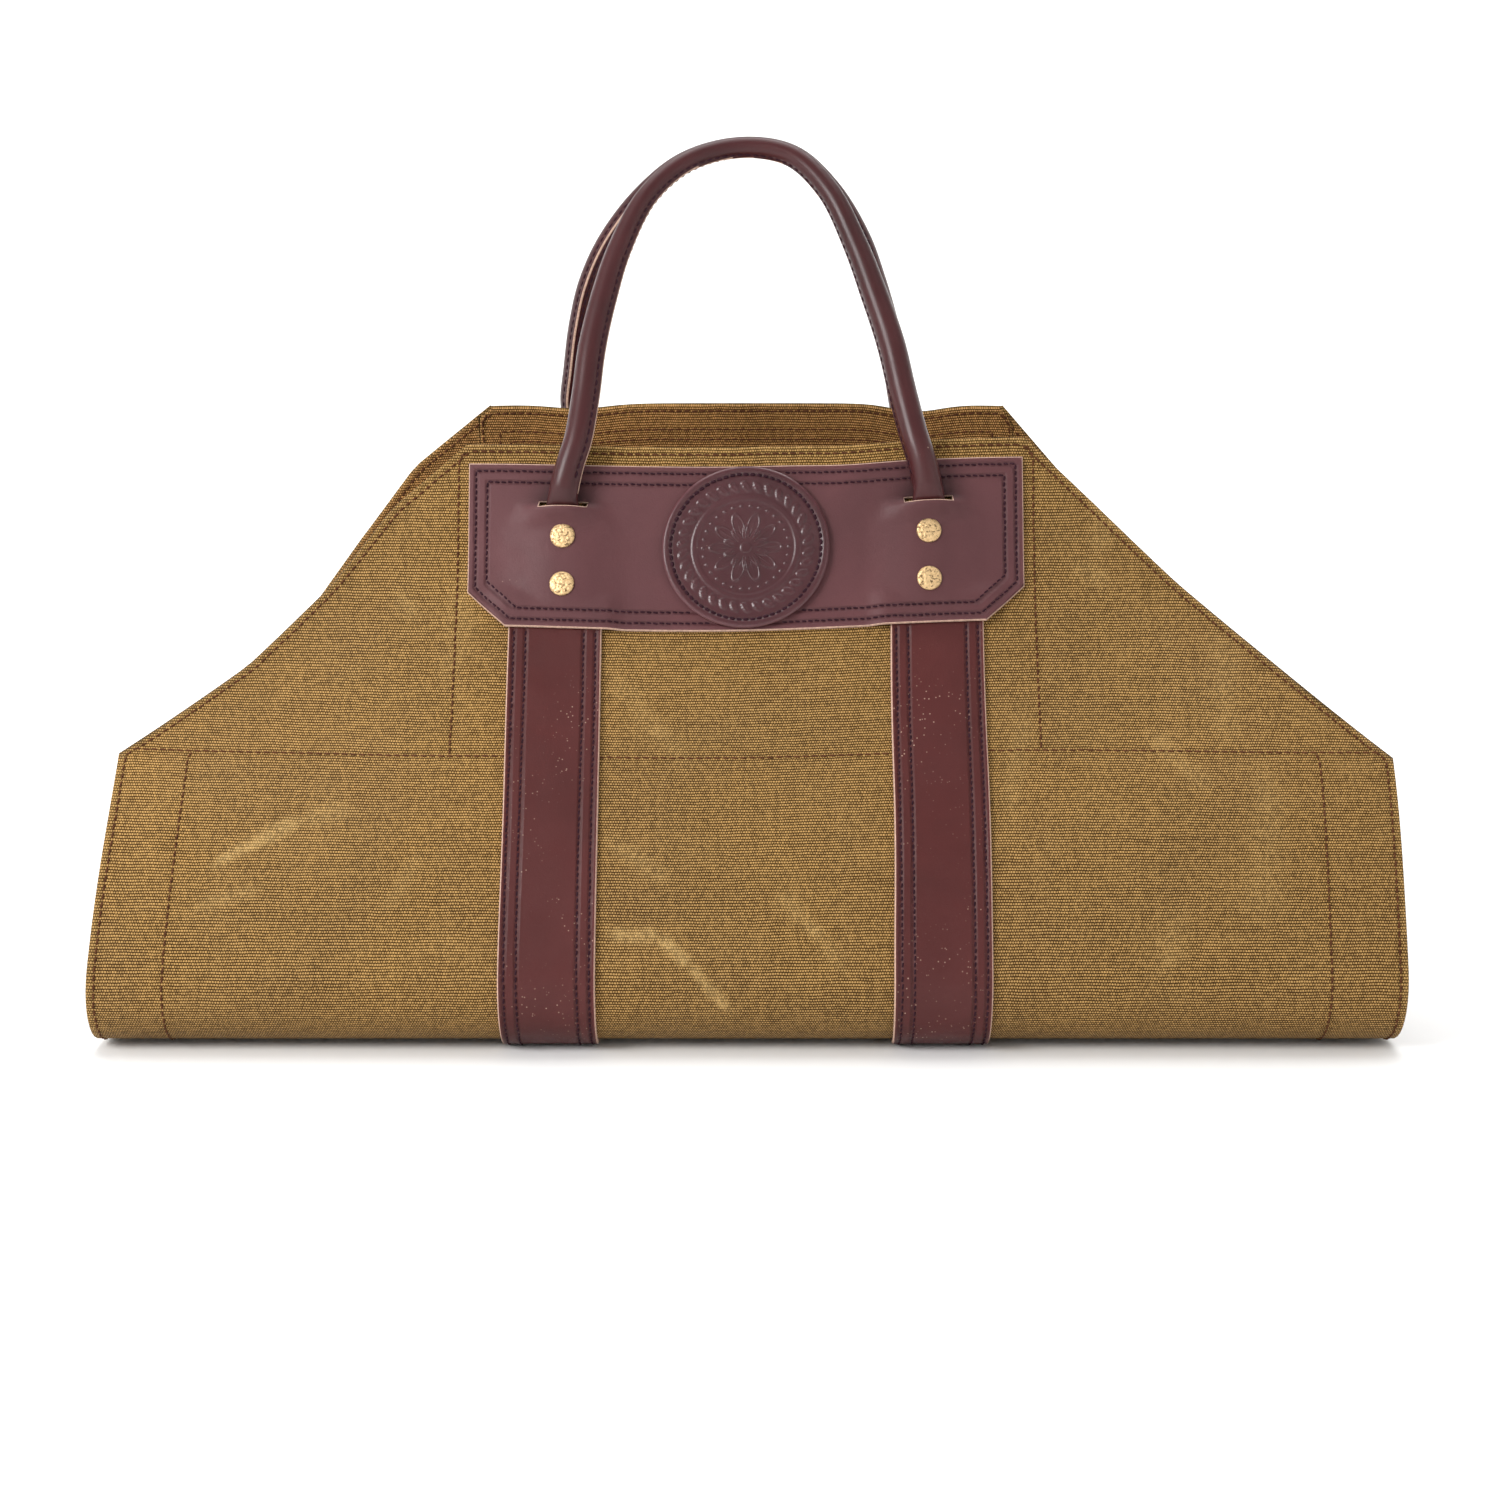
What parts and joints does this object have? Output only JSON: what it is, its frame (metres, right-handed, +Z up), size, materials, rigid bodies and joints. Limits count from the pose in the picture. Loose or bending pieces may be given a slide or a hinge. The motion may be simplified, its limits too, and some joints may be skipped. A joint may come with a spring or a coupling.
{
  "type": "canvas log carrier",
  "caption": "Waxed canvas sling for carrying firewood, with leather straps, riveted leather handle patches, rolled leather handles and a round stitched leather medallion.",
  "frame": {"origin": "middle of the footprint, on the floor under the straps", "axes": "+X to the right of the front panel along the open ends, +Y from the front panel to the back panel, +Z up"},
  "size_m": [0.6101, 0.3264, 0.4282],
  "materials": {
    "canvas": "waxed tan canvas",
    "facing": "waxed tan canvas, inner side",
    "strap_leather": "smooth burgundy brown leather",
    "patch_leather": "smooth burgundy brown leather",
    "handle_leather": "rolled burgundy brown leather",
    "brass": "hammered brass"
  },
  "bodies": {
    "root": {"canvas_sling": "canvas", "top_facing_front": "facing", "top_facing_back": "facing", "corner_facing_front_left": "facing", "corner_facing_front_right": "facing", "corner_facing_back_left": "facing", "corner_facing_back_right": "facing", "side_hem_left": "facing", "side_hem_right": "facing", "strap_left": "strap_leather", "strap_right": "strap_leather", "handle_patch_front": "patch_leather", "handle_patch_back": "patch_leather", "medallion": "patch_leather", "handle_front": "handle_leather", "handle_back": "handle_leather", "rivet_front_left_upper": "brass", "rivet_front_left_lower": "brass", "rivet_front_right_upper": "brass", "rivet_front_right_lower": "brass", "rivet_back_left_upper": "brass", "rivet_back_left_lower": "brass", "rivet_back_right_upper": "brass", "rivet_back_right_lower": "brass"}
  },
  "joints": []
}
